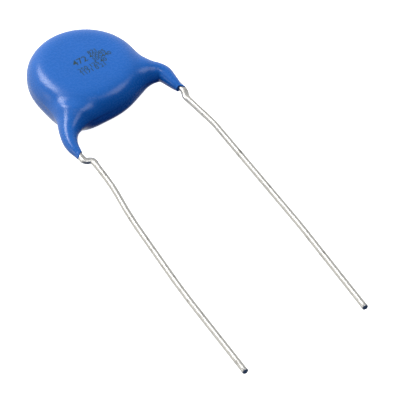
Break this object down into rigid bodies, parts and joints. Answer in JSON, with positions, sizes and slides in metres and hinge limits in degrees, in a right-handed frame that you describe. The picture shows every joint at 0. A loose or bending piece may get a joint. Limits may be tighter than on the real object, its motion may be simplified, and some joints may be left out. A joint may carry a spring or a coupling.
{
  "type": "ceramic disc capacitor",
  "caption": "Flat round ceramic capacitor dipped in glossy epoxy, with long tinned wire leads crimped just below the body.",
  "frame": {"origin": "on the flat of the back, under the centre of the disc", "axes": "+Z out of the front face along the disc's axis, the leads run towards -Y, +X to the right as the front is seen with the leads down"},
  "size_m": [0.0171, 0.0461, 0.0039],
  "materials": {
    "epoxy": "glossy dipped epoxy",
    "ceramic": "matt fired ceramic",
    "fired_silver": "matt fired silver",
    "solder": "satin solder",
    "tinned_wire": "bright tinned wire"
  },
  "bodies": {
    "root": {"epoxy_coating": "epoxy", "ceramic_disc": "ceramic", "front_electrode": "fired_silver", "rear_electrode": "fired_silver", "front_solder": "solder", "rear_solder": "solder", "left_lead": "tinned_wire", "right_lead": "tinned_wire"}
  },
  "joints": []
}
